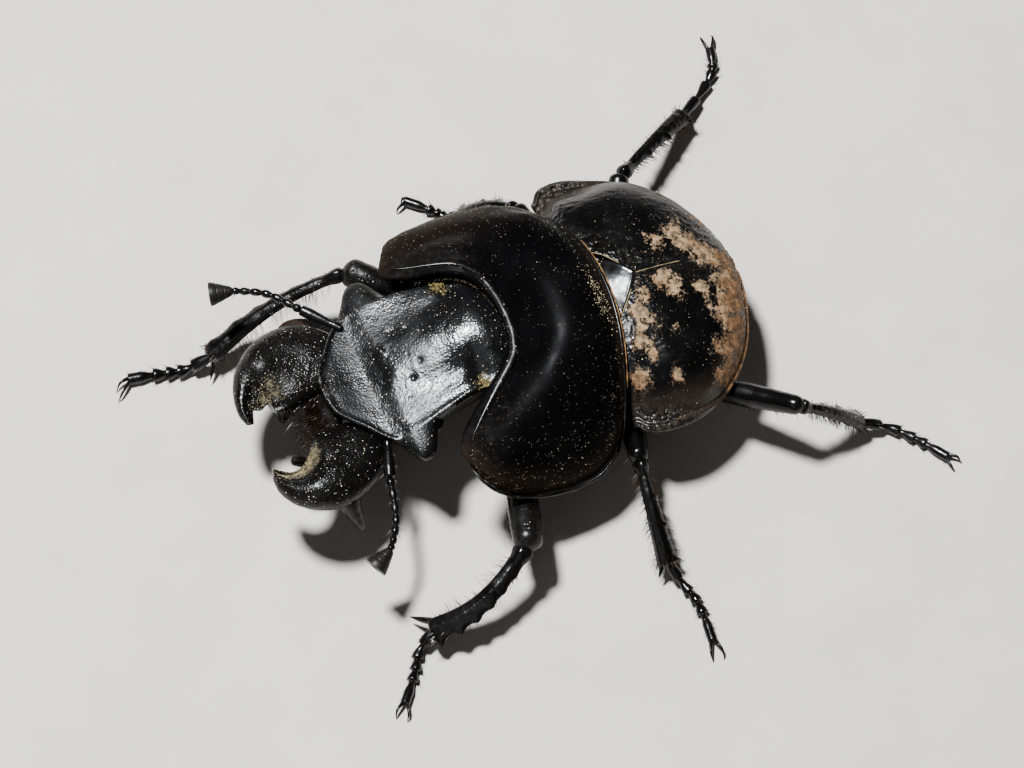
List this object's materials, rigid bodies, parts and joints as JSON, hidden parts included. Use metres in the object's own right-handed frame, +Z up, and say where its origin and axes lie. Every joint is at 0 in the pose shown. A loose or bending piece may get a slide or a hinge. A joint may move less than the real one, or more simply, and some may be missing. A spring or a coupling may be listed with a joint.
{
  "type": "dung beetle",
  "caption": "Earth-boring dung beetle, a large black male with domed shields, broad head and crescent jaws, standing on splayed legs; still life-size model.",
  "frame": {"origin": "on the floor, at the middle of the footprint of the whole animal with its legs and jaws", "axes": "+Z up, -Y the way the head points, +X the animal's left"},
  "size_m": [0.0314, 0.0354, 0.0087],
  "materials": {
    "shell": "glossy black chitin, with faint brown sheen, dust grains and dried mud",
    "head": "leathery, finely granular black chitin",
    "jaw": "granular black chitin, dusty on the inner side",
    "body": "satin black chitin with brown bristles",
    "limb": "glossy black chitin with dark brown bristles",
    "mouthpart": "dark brown chitin with brown hairs",
    "eye": "smooth glossy black"
  },
  "bodies": {
    "root": {"abdomen": "body", "antenna_club_l": "limb", "antenna_club_r": "limb", "antenna_scape_l": "limb", "antenna_scape_r": "limb", "antenna_stalk_l": "limb", "antenna_stalk_r": "limb", "coxa_fore_l": "limb", "coxa_fore_r": "limb", "coxa_hind_l": "limb", "coxa_hind_r": "limb", "coxa_mid_l": "limb", "coxa_mid_r": "limb", "elytron_l": "shell", "elytron_r": "shell", "eye_l": "eye", "eye_r": "eye", "femur_fore_l": "limb", "femur_fore_r": "limb", "femur_hind_l": "limb", "femur_hind_r": "limb", "femur_mid_l": "limb", "femur_mid_r": "limb", "head": "head", "labial_palp_l": "mouthpart", "labial_palp_r": "mouthpart", "labrum": "mouthpart", "mandible_l": "jaw", "mandible_r": "jaw", "maxillary_palp_l": "mouthpart", "maxillary_palp_r": "mouthpart", "metathorax": "body", "pronotum": "shell", "prothorax": "body", "scutellum": "shell", "tarsus_fore_l": "limb", "tarsus_fore_r": "limb", "tarsus_hind_l": "limb", "tarsus_hind_r": "limb", "tarsus_mid_l": "limb", "tarsus_mid_r": "limb", "tibia_fore_l": "limb", "tibia_fore_r": "limb", "tibia_hind_l": "limb", "tibia_hind_r": "limb", "tibia_mid_l": "limb", "tibia_mid_r": "limb"}
  },
  "joints": []
}
